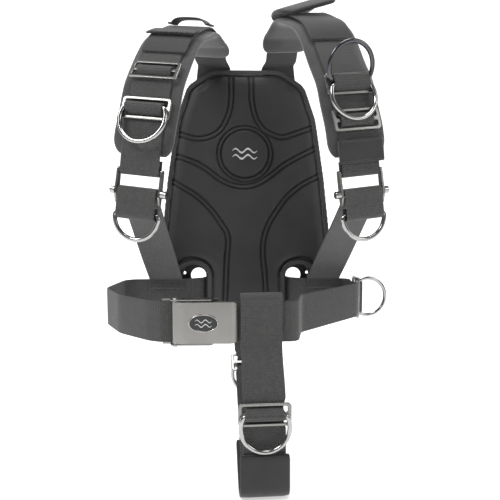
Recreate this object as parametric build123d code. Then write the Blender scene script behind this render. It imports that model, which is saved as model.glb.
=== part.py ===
from build123d import *
from math import atan2, cos, pi, radians, sin, sqrt
import os

# Diving backplate and harness, in millimetres.
# The front is -Y, up is +Z, and +X is the wearer's left.
# Origin: centre of the two tank-bolt holes, on the rear face of the backplate.

SIDES = {-1: "right", 1: "left"}

# ---- backplate and back pad ----
PLATE_T = 3.0
BOLT_SPACING = 280.0
BOLT_HOLE_R = 4.5
BODY_OUTLINE = [(0, -206), (60, -206), (127, -197), (134, -95), (121, 20), (107, 112), (89, 163), (52, 187),
                (0, 187)]
BODY_RADII = [30, 14, 60, 200, 80, 30, 40]
CAM_SLOTS = [(-38, 80), (38, 80), (-38, -80), (38, -80)]
SCREWS = [(-94, 104), (94, 104), (-96, -60), (96, -60)]
SCREW_R = 3.3
PAD_GAP = 0.4
PAD_T = 11.0
PAD_BOTTOM = -186.0
NOTCH_X = 82.0
NOTCH_HALF = 22.0
NOTCH_BASE = -129.0
NOTCH_H = 19.0
BINDING_W = 7.0
BINDING_T = 1.6

# ---- webbing ----
WEB_W = 50.0
WEB_T = 2.5
GAP = 0.35
SLOT_H = 7.0
STRAP_SLOT_X = 55.0
STRAP_SLOT_Z = 165.0
STRAP_SLOT_Y = -5.0
PLATE_SLOT_X = 52.0
PLATE_SLOT_Z = 160.0
SLOT_TILT = 6.3
RISE_Y = -5.5
RISE = 31.0
CROTCH_SLOT_Z = -197.0
BELT_SLOT_X = 66.5
BELT_Z = -156.0
BELT_FRONT = 218.0
BELT_BACK = 214.6
TAIL_Y = 2.2
TAIL_L = 48.0

# ---- shoulder pads and covers ----
PAD_W = 76.0
STRAP_PAD_T = 9.0
SLEEVE_W = 58.0
SLEEVE_T = 2.2

# ---- hardware ----
WIRE_R = 2.75
RING_R = 28.25
CHEST_DEPTH = 42.0
PULL_DEPTH = 31.0
SLIDE_W = 62.0
SLIDE_H = 27.0
SLIDE_T = 3.0
SLIDE_LIFT = WEB_T / 2 + GAP + SLIDE_T / 2 + 0.4
RING_LIFT = 8.6
ROLLER_R = 3.5
NECK_R = 2.0
KNOB_R = 4.75
KNOB_L = 6.4
BAR_R = 2.5
ARM_T = 2.4
ARM_X = 27.8
FOLD_U = -142.4
ROLLER_U = -167.0
PULL_U = -192.9

# Shoulder strap run of each side in its own plane, from above the pad: forward, up.
STRAP_YAW = radians(16.06)
STRAP_LEAN = radians(6.4)
STRAP_RUN = {
    -1: [(9, 37), (17, 43), (52, 53), (100, 57), (165, 26), (205, -32), (222, -100)],
    1: [(9, 37), (16, 47), (44, 67), (95, 79), (162, 44), (206, -34), (222, -100)],
}
STRAP_RADII = [11, 26, 60, 60, 80]
STRAP_FRONT = 222.0
TAIL_FRONT = 224.5

# Belt run of each side in a horizontal plane: to the side, to the front.
BELT_RUN = {
    -1: [(30, -2), (BELT_SLOT_X, -2), (BELT_SLOT_X, 6.4), (92, 21), (184, 24), (197, 108), (167, 167),
         (126, 206), (110, BELT_BACK), (50, BELT_BACK)],
    1: [(30, -2), (BELT_SLOT_X, -2), (BELT_SLOT_X, 6.4), (92, 21), (158, 23), (165, 72), (66, 172),
        (57, BELT_FRONT), (-84, BELT_FRONT)],
}
BELT_RADII = {-1: [3, 3, 10, 20, 45, 50, 25, 12], 1: [3, 3, 10, 16, 24, 22, 12]}

# ---- waist buckle ----
HINGE = (-91.0, -219.9)
PIN_R = 1.8
KNUCKLE_R = 3.3
STEEL = 1.6
LEVER_END = -15.5
LEVER_FACE = 225.2
BADGE_X = -57.0
BASE_X = (-107.0, -40.0)
BASE_Y = -211.0
FLANGE_X = (-97.0, -46.0)
FLANGE_Z = 27.0
RIVET_X = -62.0
RIVET_Z = (-14, 14)

# Crotch strap run in its own vertical plane: forward, up.
CROTCH_YAW = radians(3.2)
CROTCH_RUN = [(211.5, -190), (211.5, -122), (224.5, -122), (224.5, -190), (254, -238), (258, -352),
              (236, -352), (99, -212), (40, CROTCH_SLOT_Z), (-4.5, CROTCH_SLOT_Z), (-4.5, -160)]
CROTCH_RADII = [6.2, 6.2, 40, 60, 10.5, 10.5, 40, 60, 2]
SLEEVE_BOTTOM_T = 5.0


# ---- flat strips ----
def side_run(points, radii, shift):
    """Corners and radii of a run parallel to another, to its left."""
    corners = [Vector(*point) for point in points]
    normals = [(b - a).normalized().rotate(Axis.Z, 90) for a, b in zip(corners, corners[1:])]
    moved = [corners[0] + normals[0] * shift]
    new_radii = []
    for i, radius in enumerate(radii, 1):
        before = normals[i - 1]
        after = normals[i]
        moved.append(corners[i] + (before + after) * (shift / (1 + before.dot(after))))
        turns_left = before.cross(after).Z > 0
        new_radii.append(radius - shift if turns_left else radius + shift)
    moved.append(corners[-1] + normals[-1] * shift)
    return moved, new_radii


def run_line(points, radii):
    """A run as one line with rounded corners."""
    if len(points) == 2:
        return Line(points[0], points[1])
    return FilletPolyline(*points, radius=radii)


def band(plane, points, radii, thickness, width, shift=0.0):
    """A strip that follows a run in a plane, as wide as asked across it."""
    left, left_radii = side_run(points, radii, shift + thickness / 2)
    right, right_radii = side_run(points, radii, shift - thickness / 2)
    outline = Curve() + [
        run_line(left, left_radii),
        Line(left[-1], right[-1]),
        run_line(right, right_radii),
        Line(left[0], right[0]),
    ]
    return extrude(plane * make_face(outline), width / 2, both=True)


def strap_plane(side):
    """Plane of a shoulder strap at its slot: x forward, y up."""
    forward = Vector(side * sin(STRAP_YAW), -cos(STRAP_YAW), 0)
    across = Vector(cos(STRAP_YAW), side * sin(STRAP_YAW), 0)
    up = Vector(0, 0, 1) * cos(STRAP_LEAN) - across * (side * sin(STRAP_LEAN))
    slot = (side * STRAP_SLOT_X, STRAP_SLOT_Y, STRAP_SLOT_Z)
    return Plane(origin=slot, x_dir=forward, z_dir=forward.cross(up))


def belt_plane(side):
    """Plane of a belt half: x to its side, y to the front."""
    return Plane(origin=(0, 0, BELT_Z), x_dir=(side, 0, 0), z_dir=(0, 0, -side))


def crotch_plane():
    """Plane of the crotch strap: x forward, y up."""
    forward = Vector(sin(CROTCH_YAW), -cos(CROTCH_YAW), 0)
    return Plane(origin=(0, 0, 0), x_dir=forward, z_dir=forward.cross(Vector(0, 0, 1)))


def seat(plane, run, fraction, lift, outward=1):
    """Seat on one leg of a run: x across it, y back along it, z out of it."""
    start, end = (plane.from_local_coords(Vector(*point, 0)) for point in run)
    back = (start - end).normalized()
    across = plane.z_dir * -outward
    out = across.cross(back)
    return Plane(origin=start + (end - start) * fraction + out * lift, x_dir=across, z_dir=out)


# ---- hardware shapes, on a seat's own axes ----
def d_ring(depth):
    """D-ring with its bar along x at the origin and its bow down to y = -depth."""
    drop = depth - RING_R
    corner_r = 4.5
    corner_x = sqrt((RING_R - corner_r) ** 2 - (drop - corner_r) ** 2)
    lean = atan2(drop - corner_r, corner_x)
    joint = (RING_R * cos(lean), -drop + RING_R * sin(lean))
    middle = lean / 2 + pi / 4
    knee = (corner_x + corner_r * cos(middle), -corner_r + corner_r * sin(middle))
    path = Curve() + [
        Line((-corner_x, 0), (corner_x, 0)),
        ThreePointArc((corner_x, 0), knee, joint),
        ThreePointArc(joint, (0, -depth), (-joint[0], joint[1])),
        ThreePointArc((-joint[0], joint[1]), (-knee[0], knee[1]), (-corner_x, 0)),
    ]
    return sweep(Plane.YZ * Circle(WIRE_R), path=path.wire())


def slide():
    """Three-bar slide: rounded plate with two slots for the webbing."""
    plate = extrude(RectangleRounded(SLIDE_W, SLIDE_H, 5), SLIDE_T / 2, both=True)
    for y in (-6.1, 6.1):
        plate -= Pos(0, y) * extrude(RectangleRounded(WEB_W + 3, 7.6, 2), SLIDE_T, both=True)
    return fillet(plate.faces().filter_by(Axis.Z).edges(), 0.9)


def ring_seats():
    """Seat, bow depth and swing out from hanging of each D-ring."""
    right = strap_plane(-1)
    left = strap_plane(1)
    right_leg = STRAP_RUN[-1][5:7]
    left_leg = STRAP_RUN[1][5:7]
    crotch = crotch_plane()
    lower = seat(left, left_leg, 0.06, RING_LIFT) * Pos(0, -3.6, 0)
    upper = seat(left, left_leg, 0.06, RING_LIFT) * Pos(0, 3.6, 0)
    seats = {
        "right_chest_d_ring": (seat(right, right_leg, 0.56, RING_LIFT), CHEST_DEPTH, 0),
        "left_lower_chest_d_ring": (Plane(lower), CHEST_DEPTH, 0),
        "left_upper_chest_d_ring": (Plane(upper), CHEST_DEPTH, 150),
        "waist_d_ring": (seat(belt_plane(1), BELT_RUN[1][4:6], 0.55, RING_LIFT, -1), CHEST_DEPTH, 90),
        "crotch_front_d_ring": (seat(crotch, CROTCH_RUN[4:6], 0.16, RING_LIFT), CHEST_DEPTH, 0),
        "crotch_rear_d_ring": (seat(crotch, CROTCH_RUN[6:8], 0.85, RING_LIFT), CHEST_DEPTH, 136),
    }
    for side, name in SIDES.items():
        place = seat(strap_plane(side), pull_leg(), 0, 0)
        seats[name + "_pull_d_ring"] = (place, PULL_DEPTH, 0)
    return seats


def slide_seats():
    """Seat of each three-bar slide."""
    right = strap_plane(-1)
    left = strap_plane(1)
    crotch = crotch_plane()
    seats = {
        "right_upper_slide": seat(right, STRAP_RUN[-1][4:6], 0.86, SLIDE_LIFT),
        "right_ring_slide": seat(right, STRAP_RUN[-1][5:7], 0.56, SLIDE_LIFT),
        "left_ring_slide": seat(left, STRAP_RUN[1][5:7], 0.06, SLIDE_LIFT),
        "left_lower_slide": seat(left, STRAP_RUN[1][5:7], 0.72, SLIDE_LIFT),
        "waist_ring_slide": seat(belt_plane(1), BELT_RUN[1][4:6], 0.55, SLIDE_LIFT, -1),
        "crotch_front_slide": seat(crotch, CROTCH_RUN[4:6], 0.16, SLIDE_LIFT),
        "crotch_rear_slide": seat(crotch, CROTCH_RUN[6:8], 0.85, SLIDE_LIFT),
    }
    for side, name in SIDES.items():
        behind = Plane(origin=(side * PLATE_SLOT_X, TAIL_Y + SLIDE_LIFT, PLATE_SLOT_Z - 33),
                       x_dir=(-1, 0, 0), z_dir=(0, 1, 0))
        seats[name + "_tail_slide"] = behind
        seats[name + "_belt_tail_slide"] = Plane(origin=(side * 46, TAIL_Y + SLIDE_LIFT, BELT_Z),
                                                 x_dir=(0, 0, 1), z_dir=(0, 1, 0))
    return seats


# ---- quick-release ends of the shoulder straps ----
def fold_axis():
    return (STRAP_FRONT - BAR_R - GAP - WEB_T / 2, FOLD_U)


def roller_axis():
    return (TAIL_FRONT - ROLLER_R - GAP - WEB_T / 2, ROLLER_U)


def pull_axis():
    return (TAIL_FRONT - 4.55 - WEB_T / 2, PULL_U)


def pull_leg():
    """Vertical line down through the pull ring's bar."""
    forward, height = pull_axis()
    return [(forward, height), (forward, height - 10)]


def roller_seat(side):
    forward, height = roller_axis()
    return seat(strap_plane(side), [(forward, height), (forward, height - 10)], 0, 0)


def frame_seat(side):
    """Seat of the quick-release frame's bar, with the roller straight below."""
    return seat(strap_plane(side), [fold_axis(), roller_axis()], 0, 0)


def slot_plane(side):
    """Upright plane through a shoulder slot, square to the webbing: x to the rear."""
    tilt = radians(SLOT_TILT)
    across = Vector(cos(tilt), 0, side * sin(tilt))
    return Plane(origin=(side * PLATE_SLOT_X, 0, PLATE_SLOT_Z), x_dir=(0, 1, 0), z_dir=across)


def strap_rise(side):
    """Webbing out of the slot, up behind the pad's top edge, and over to the strap's run."""
    plane = slot_plane(side)
    up = 1 if plane.y_dir.Z > 0 else -1
    rise = band(plane, [(-0.4, 0), (RISE_Y, 0), (RISE_Y, up * RISE)], [2], WEB_T, WEB_W)
    low = Plane(origin=plane.from_local_coords(Vector(RISE_Y, up * RISE, 0)), x_dir=plane.z_dir,
                z_dir=plane.y_dir * up)
    strap = strap_plane(side)
    start, after = (strap.from_local_coords(Vector(*point, 0)) for point in STRAP_RUN[side][:2])
    high = Plane(origin=start, x_dir=strap.z_dir * -1, z_dir=(after - start).normalized())
    return rise + loft([low * Rectangle(WEB_W, WEB_T), high * Rectangle(WEB_W, WEB_T)], ruled=True)


def shoulder_webbing(side):
    """Webbing from the plate's slot over the shoulder to a fold round the frame's bar."""
    bar = fold_axis()
    reach = STRAP_FRONT - bar[0]
    run = STRAP_RUN[side] + [
        (STRAP_FRONT + 0.01, FOLD_U - reach),
        (bar[0] - reach, FOLD_U - reach),
        (bar[0] - reach, FOLD_U + 15),
    ]
    radii = STRAP_RADII + [150, reach - 0.03, reach - 0.03]
    return band(strap_plane(side), run, radii, WEB_T, WEB_W) + strap_rise(side)


def roller_tail(side):
    """Front flap of the lower strap: folded round the pull ring and the roller."""
    roller = roller_axis()
    pull = pull_axis()
    roller_reach = TAIL_FRONT - roller[0]
    pull_reach = TAIL_FRONT - pull[0]
    run = [
        (pull[0] - pull_reach, PULL_U + 8),
        (pull[0] - pull_reach, PULL_U - pull_reach),
        (TAIL_FRONT, PULL_U - pull_reach),
        (TAIL_FRONT, ROLLER_U + roller_reach),
        (roller[0] - roller_reach, ROLLER_U + roller_reach),
        (roller[0] - roller_reach, ROLLER_U - 6),
    ]
    radii = [pull_reach - 0.03, pull_reach - 0.03, roller_reach - 0.03, roller_reach - 0.03]
    return band(strap_plane(side), run, radii, WEB_T, WEB_W)


def belt_saddle_plane(side):
    """Plane across the belt's rear run where the lower strap meets it."""
    start, end = (belt_plane(side).from_local_coords(Vector(*point, 0)) for point in BELT_RUN[side][3:5])
    share = 0.35 if side < 0 else 0.42
    out = (end - start).normalized()
    across = Vector(out.Y, -out.X, 0) * side
    middle = start + (end - start) * share
    return Plane(origin=middle, x_dir=across, z_dir=across.cross(Vector(0, 0, 1)))


def lower_strap(side):
    """Webbing from the roller down and back to the belt, sewn over its top edge."""
    top = WEB_W / 2
    reach = WEB_T / 2 + GAP + 0.1 + WEB_T / 2
    saddle_run = [(reach, top - 15), (reach, top + 4), (-reach, top + 4), (-reach, top - 15)]
    plane = belt_saddle_plane(side)
    saddle = band(plane, saddle_run, [reach - 0.03, reach - 0.03], WEB_T, WEB_W)
    forward, height = roller_axis()
    start = strap_plane(side).from_local_coords(Vector(forward - 6.2, height - 8, 0))
    end = plane.from_local_coords(Vector(0.8, top + 3.5, 0))
    down = (end - start).normalized()
    across_start = strap_plane(side).z_dir * -1
    across_end = plane.z_dir * (-1 if plane.z_dir.X < 0 else 1)
    first = Plane(origin=start, x_dir=across_start, z_dir=down)
    last = Plane(origin=end, x_dir=across_end, z_dir=down)
    run = loft([first * Rectangle(WEB_W, WEB_T), last * Rectangle(WEB_W, WEB_T)], ruled=True)
    return roller_tail(side) + run + saddle


def quick_release_frame(side):
    """Bar in the webbing's fold and two hooked arms that drop over the roller's necks."""
    bar = fold_axis()
    roller = roller_axis()
    length = sqrt((bar[0] - roller[0]) ** 2 + (bar[1] - roller[1]) ** 2)
    blank = Polyline((-3.4, 3.4), (3.6, 3.4), (4.2, -length - 4), (-1, -length - 16), (-4.2, -length - 13),
                     (-4.4, -length + 4), (-3.4, 3.4))
    arm = make_face(blank)
    arm = fillet(arm.vertices(), 2.2)
    mouth = Pos(0, -length) * (Circle(2.9) + Pos(-5, -0.4) * Rectangle(10, 5.8))
    upright = Plane(origin=(0, 0, 0), x_dir=(0, 0, 1), z_dir=(-1, 0, 0))
    hook = extrude(upright * (arm - mouth), ARM_T / 2, both=True)
    frame = Rot(0, 90, 0) * Cylinder(BAR_R, 2 * ARM_X)
    for x in (-ARM_X, ARM_X):
        frame += Pos(x, 0, 0) * hook
    return frame_seat(side) * frame


def roller_bar(side):
    """Roller with a thin neck and a turned knob at each end."""
    body_half = WEB_W / 2 + 0.9
    knob_start = ARM_X + ARM_T / 2 + 0.5
    outline = Polyline(
        (-knob_start - KNOB_L, 0), (-knob_start - KNOB_L, KNOB_R - 1), (-knob_start - KNOB_L + 1, KNOB_R),
        (-knob_start, KNOB_R), (-knob_start, NECK_R), (-body_half, NECK_R), (-body_half, ROLLER_R),
        (body_half, ROLLER_R), (body_half, NECK_R), (knob_start, NECK_R), (knob_start, KNOB_R),
        (knob_start + KNOB_L - 1, KNOB_R), (knob_start + KNOB_L, KNOB_R - 1), (knob_start + KNOB_L, 0),
        (-knob_start - KNOB_L, 0),
    )
    return roller_seat(side) * revolve(make_face(outline), Axis.X, 360)


# ---- layers on the shoulder straps ----
def between(run, first, last):
    """Part of a run: its corners from one leg to another, with both ends cut."""
    (leg_a, share_a), (leg_b, share_b) = first, last
    points = [Vector(*run[leg_a]) + (Vector(*run[leg_a + 1]) - Vector(*run[leg_a])) * share_a]
    points += [Vector(*run[i]) for i in range(leg_a + 1, leg_b + 1)]
    points.append(Vector(*run[leg_b]) + (Vector(*run[leg_b + 1]) - Vector(*run[leg_b])) * share_b)
    return [(point.X, point.Y) for point in points], STRAP_RADII[leg_a:leg_b]


def strap_layer(side, first, last, thickness, width, lift):
    points, radii = between(STRAP_RUN[side], first, last)
    return band(strap_plane(side), points, radii, thickness, width, lift)


def shoulder_pad(side):
    run = STRAP_RUN[side] + [(222.1, -123)]
    start = Vector(*run[1]) + (Vector(*run[2]) - Vector(*run[1])) * 0.2
    points = [(start.X, start.Y)] + run[2:]
    radii = STRAP_RADII[1:] + [150]
    return band(strap_plane(side), points, radii, STRAP_PAD_T, PAD_W, -(WEB_T / 2 + GAP + STRAP_PAD_T / 2))


def patch(side, leg, share, size, lift):
    """Flat piece laid on one leg of a strap: size across, along and thick."""
    width, length, thickness = size
    place = seat(strap_plane(side), STRAP_RUN[side][leg:leg + 2], share, lift + thickness / 2)
    return place * Box(width, length, thickness)


def add_shoulder_covers(parts):
    above = WEB_T / 2 + GAP
    over_sleeve = above + SLEEVE_T + GAP
    sleeve_lift = above + SLEEVE_T / 2
    parts["right_shoulder_sleeve"] = strap_layer(-1, (1, 0.3), (4, 0.42), SLEEVE_T, SLEEVE_W, sleeve_lift)
    parts["left_shoulder_sleeve"] = strap_layer(1, (1, 0.3), (4, 0.3), SLEEVE_T, SLEEVE_W, sleeve_lift)
    parts["right_hose_band"] = patch(-1, 3, 0.86, (74, 26, 3), over_sleeve)
    parts["right_hose_loop"] = strap_layer(-1, (2, 0.55), (3, 0.31), 4.0, 60, over_sleeve + 2)
    parts["left_shoulder_flap"] = strap_layer(1, (2, 0.4), (3, 0.5), 6.0, 82, over_sleeve + 3)
    front = [(STRAP_FRONT, -100), (STRAP_FRONT, -140)]
    parts["left_chest_band"] = seat(strap_plane(1), front, 0.45, above + 2.5) * Box(58, 27, 5)


# ---- waist buckle ----
def buckle_frame():
    """Base plate with a side flange above and below the belt."""
    base_length = BASE_X[1] - BASE_X[0]
    flange_length = FLANGE_X[1] - FLANGE_X[0]
    middle = (BASE_X[0] + BASE_X[1]) / 2
    base = Pos(middle, BASE_Y - STEEL / 2, BELT_Z) * Box(base_length, STEEL, 2 * FLANGE_Z + STEEL)
    for end in (-1, 1):
        height = abs(HINGE[1] - BASE_Y) + 3
        flange = Box(flange_length, height, STEEL)
        flange = fillet(flange.edges().filter_by(Axis.Z).group_by(Axis.Y)[0], 4)
        base += Pos(sum(FLANGE_X) / 2, BASE_Y - height / 2, BELT_Z + end * FLANGE_Z) * flange
    hole = Pos(HINGE[0], HINGE[1], BELT_Z) * Cylinder(PIN_R, 80)
    slot = Pos(BASE_X[0] + 10, BASE_Y, BELT_Z) * Box(5, 10, WEB_W + 1)
    return base - hole - slot - rivet_holes()


def buckle_lever():
    """Cover plate hinged on a knuckle, bent down to a rounded grip at its free end."""
    run = [(HINGE[0], 222.4), (-80, LEVER_FACE), (-24, LEVER_FACE), (LEVER_END - 0.6, 220.8)]
    plane = Plane(origin=(0, 0, BELT_Z), x_dir=(1, 0, 0), z_dir=(0, 0, -1))
    lever = band(plane, run, [14, 8], STEEL, WEB_W)
    blank = Pos(LEVER_END - 40, -LEVER_FACE, BELT_Z) * Box(80, 20, WEB_W)
    blank = fillet(blank.edges().filter_by(Axis.Y).group_by(Axis.X)[-1], 7)
    lever = lever & blank
    knuckle = Pos(HINGE[0], HINGE[1], BELT_Z) * Cylinder(KNUCKLE_R, WEB_W)
    return lever + knuckle - Pos(HINGE[0], HINGE[1], BELT_Z) * Cylinder(PIN_R + 0.05, WEB_W + 2)


def buckle_pin():
    """Hinge pin with a domed head outside each flange."""
    half = FLANGE_Z + STEEL / 2 + 0.1
    pin = Cylinder(PIN_R, 2 * half + 1)
    for end in (-1, 1):
        pin += Pos(0, 0, end * (half + 0.9)) * Cylinder(2.6, 1.8)
    return Pos(HINGE[0], HINGE[1], BELT_Z) * pin


def buckle_badge():
    """Plain oval badge on the lever."""
    face_y = -LEVER_FACE - STEEL / 2
    badge = extrude(Ellipse(16.5, 9.5), 0.9)
    return Plane(origin=(BADGE_X, face_y, BELT_Z), x_dir=(1, 0, 0), z_dir=(0, -1, 0)) * badge


def buckle_rivets():
    """Two rivets that hold the fixed belt end on the base plate."""
    rivets = Part()
    for z in RIVET_Z:
        middle = Pos(RIVET_X, 0, BELT_Z + z) * Rot(90, 0, 0)
        rivets += middle * Pos(0, 0, 213.4) * Cylinder(2.0, 6.0)
        rivets += middle * Pos(0, 0, BELT_BACK + WEB_T / 2 + 0.25) * Cylinder(3.5, 0.5)
    return rivets


def rivet_holes():
    holes = Part()
    for z in RIVET_Z:
        holes += Pos(RIVET_X, -BELT_BACK, BELT_Z + z) * Rot(90, 0, 0) * Cylinder(2.05, 14)
    return holes


# ---- plate and pad ----
def body_face(inset=0.0):
    points, radii = side_run(BODY_OUTLINE, BODY_RADII, inset)
    half = FilletPolyline(*points, radius=radii)
    return make_face(Curve() + [half, mirror(half, about=Plane.YZ)])


def upright_slot(x, z, length, width, tilt=0.0):
    return Pos(x, z) * Rot(0, 0, tilt) * SlotOverall(length, width)


def backplate():
    face = body_face()
    for z in (-BOLT_SPACING / 2, BOLT_SPACING / 2):
        face -= Pos(0, z) * Circle(BOLT_HOLE_R)
    for x, z in SCREWS:
        face -= Pos(x, z) * Circle(SCREW_R + 0.1)
    for x, z in CAM_SLOTS:
        face -= upright_slot(x, z, 60, SLOT_H, 90)
    for side in SIDES:
        face -= upright_slot(side * PLATE_SLOT_X, PLATE_SLOT_Z, 54, SLOT_H, side * SLOT_TILT)
        face -= upright_slot(side * BELT_SLOT_X, BELT_Z, 60, SLOT_H, 90)
        face -= Pos(side * 75, -128) * Circle(12)
        face -= Pos(side * 97, -124) * Circle(2.5)
    face -= upright_slot(0, CROTCH_SLOT_Z, 58, SLOT_H)
    plate = extrude(Plane.XZ * face, PLATE_T)
    return fillet(plate.edges().group_by(Axis.Y)[-1], 0.5)


def pad_face(inset=0.0):
    face = body_face(inset)
    for side in SIDES:
        half = 110 - NOTCH_X + NOTCH_HALF + inset
        face -= Pos(side * 110, NOTCH_BASE - 50 + inset) * Rectangle(2 * half, 100)
        face -= Pos(side * NOTCH_X, NOTCH_BASE) * Ellipse(NOTCH_HALF + inset, NOTCH_H + inset)
    face -= Pos(0, PAD_BOTTOM - 50 + inset) * Rectangle(200, 100)
    return face


def strap_pockets():
    """Shallow pockets in the pad's rear face where the shoulder webbing rises."""
    pockets = Part()
    depth = -RISE_Y + WEB_T / 2 + 0.45
    for side in SIDES:
        middle = Pos(side * PLATE_SLOT_X, -depth / 2, PLATE_SLOT_Z + 15) * Rot(0, -side * SLOT_TILT, 0)
        pockets += middle * Box(WEB_W + 4, depth, 50)
    return pockets


def back_pad():
    pad = extrude(Plane.XZ * pad_face(), PAD_T)
    pad = Pos(0, -PLATE_T - PAD_GAP, 0) * pad
    pad -= strap_pockets()
    for x, z in SCREWS:
        pad -= Pos(x, -PLATE_T - PAD_GAP, z) * Rot(90, 0, 0) * Cylinder(SCREW_R + 0.1, 13)
    for z in (-BOLT_SPACING / 2, BOLT_SPACING / 2):
        pad -= Pos(0, -PLATE_T - PAD_GAP, z) * Rot(90, 0, 0) * Cylinder(10, 16)
    return pad


def pad_binding():
    """Tape sewn round the pad's front edge."""
    ring = extrude(Plane.XZ * (pad_face() - pad_face(BINDING_W)), BINDING_T)
    return Pos(0, -PLATE_T - PAD_GAP - PAD_T - 0.3, 0) * ring


def pad_screws():
    """Book screws: a head behind the plate and a barrel into the pad."""
    screws = Part()
    for x, z in SCREWS:
        barrel = Pos(x, -4, z) * Rot(90, 0, 0) * Cylinder(SCREW_R, 9)
        head = Pos(x, 1, z) * Rot(90, 0, 0) * Cylinder(6.5, 1.8)
        screws += barrel + head
    return screws


# ---- straps at the back, belt and crotch strap ----
def strap_tail(side):
    """End of the shoulder webbing, turned down behind the plate."""
    plane = slot_plane(side)
    down = -1 if plane.y_dir.Z > 0 else 1
    run = [(0.1, 0), (TAIL_Y, 0), (TAIL_Y, down * TAIL_L)]
    return band(plane, run, [1.9], WEB_T, WEB_W)


def belt_half(side):
    strap = band(belt_plane(side), BELT_RUN[side], BELT_RADII[side], WEB_T, WEB_W)
    return strap - rivet_holes() if side < 0 else strap


def crotch_strap():
    return band(crotch_plane(), CROTCH_RUN, CROTCH_RADII, WEB_T, WEB_W)


def crotch_pad():
    """Neoprene sleeve round the strap's lower turn."""
    points = [(256.3, -303), CROTCH_RUN[5], CROTCH_RUN[6], (196, -311.1)]
    lift = WEB_T / 2 + GAP + SLEEVE_BOTTOM_T / 2
    return band(crotch_plane(), points, [10.5, 10.5], SLEEVE_BOTTOM_T, WEB_W + 8, lift)


def make_parts():
    parts = {
        "backplate": backplate(),
        "back_pad": back_pad(),
        "back_pad_binding": pad_binding(),
        "pad_screws": pad_screws(),
        "crotch_strap": crotch_strap(),
        "crotch_pad": crotch_pad(),
        "buckle_frame": buckle_frame(),
        "buckle_lever": buckle_lever(),
        "buckle_hinge_pin": buckle_pin(),
        "buckle_badge": buckle_badge(),
        "buckle_rivets": buckle_rivets(),
    }
    for side, name in SIDES.items():
        parts[name + "_shoulder_webbing"] = shoulder_webbing(side)
        parts[name + "_shoulder_pad"] = shoulder_pad(side)
        parts[name + "_strap_tail"] = strap_tail(side)
        parts[name + "_lower_strap"] = lower_strap(side)
        parts[name + "_release_frame"] = quick_release_frame(side)
        parts[name + "_roller_bar"] = roller_bar(side)
        parts[name + "_waist_belt"] = belt_half(side)
    add_shoulder_covers(parts)
    for name, place in slide_seats().items():
        parts[name] = place * slide()
    for name, (place, depth, swing) in ring_seats().items():
        parts[name] = place * Rot(-swing, 0, 0) * d_ring(depth)
    return parts


if __name__ == "__main__":
    os.makedirs("parts", exist_ok=True)
    for node, shape in make_parts().items():
        export_step(shape, f"parts/{node}.step")
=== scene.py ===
import bmesh
import bpy
import math
import numpy as np
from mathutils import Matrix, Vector, kdtree


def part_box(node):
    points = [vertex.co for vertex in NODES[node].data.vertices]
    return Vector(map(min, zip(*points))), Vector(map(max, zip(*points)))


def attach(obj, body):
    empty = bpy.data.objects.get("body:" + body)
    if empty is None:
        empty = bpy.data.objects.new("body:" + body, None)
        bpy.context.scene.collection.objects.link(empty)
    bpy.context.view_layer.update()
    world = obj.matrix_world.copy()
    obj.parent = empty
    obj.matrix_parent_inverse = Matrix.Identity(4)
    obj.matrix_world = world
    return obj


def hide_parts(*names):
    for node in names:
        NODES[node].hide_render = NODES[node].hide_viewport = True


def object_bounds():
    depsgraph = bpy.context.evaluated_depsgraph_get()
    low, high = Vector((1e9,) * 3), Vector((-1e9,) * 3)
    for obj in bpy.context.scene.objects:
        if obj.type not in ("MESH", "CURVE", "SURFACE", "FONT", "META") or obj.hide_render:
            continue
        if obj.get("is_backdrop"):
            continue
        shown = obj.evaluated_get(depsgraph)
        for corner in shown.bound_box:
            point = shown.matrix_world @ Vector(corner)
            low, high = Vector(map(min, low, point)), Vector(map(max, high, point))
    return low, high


# Diving backplate and harness. Shapes are worked out in millimetres, and meshes are made in metres.
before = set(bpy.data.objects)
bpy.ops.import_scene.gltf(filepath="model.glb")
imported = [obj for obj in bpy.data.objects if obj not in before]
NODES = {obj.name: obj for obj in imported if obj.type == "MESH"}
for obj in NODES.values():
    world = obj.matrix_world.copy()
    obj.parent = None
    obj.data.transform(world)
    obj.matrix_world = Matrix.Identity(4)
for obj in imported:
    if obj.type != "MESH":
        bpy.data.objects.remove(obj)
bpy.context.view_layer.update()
MM = 0.001

SIDES = {-1: "right", 1: "left"}
WEB_W = 50.0
WEB_T = 2.5
GAP = 0.35
THREAD_LIFT = WEB_T / 2 + 0.1
SEAM_HALF = 22.0
STRAP_SLOT = (55.0, -5.0, 165.0)
STRAP_YAW = math.radians(16.06)
STRAP_LEAN = math.radians(6.4)
STRAP_RUN = {
    -1: [(9, 37), (17, 43), (52, 53), (100, 57), (165, 26), (205, -32), (222, -100)],
    1: [(9, 37), (16, 47), (44, 67), (95, 79), (162, 44), (206, -34), (222, -100)],
}
STRAP_RADII = [11, 26, 60, 60, 80]
PLATE_SLOT = (52.0, 160.0)
SLOT_TILT = math.radians(6.3)
RISE_Y = -5.5
RISE = 31.0
STRAP_FRONT = 222.0
TAIL_FRONT = 224.5
FOLD = (217.9, -142.4)
ROLLER = (219.4, -167.0)
PULL = (218.7, -192.9)
BELT_Z = -156.0
BELT_RUN = {
    -1: [(30, -2), (66.5, -2), (66.5, 6.4), (92, 21), (184, 24), (197, 108), (167, 167),
         (126, 206), (110, 214.6), (50, 214.6)],
    1: [(30, -2), (66.5, -2), (66.5, 6.4), (92, 21), (158, 23), (165, 72), (66, 172),
        (57, 218), (-84, 218)],
}
BELT_RADII = {-1: [3, 3, 10, 20, 45, 50, 25, 12], 1: [3, 3, 10, 16, 24, 22, 12]}
TAIL_SLIDE_SPOT = (46, -2)
CROTCH_YAW = math.radians(3.2)
CROTCH_RUN = [(211.5, -190), (211.5, -122), (224.5, -122), (224.5, -190), (254, -238), (258, -352),
              (236, -352), (99, -212), (40, -197), (-4.5, -197), (-4.5, -160)]
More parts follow.
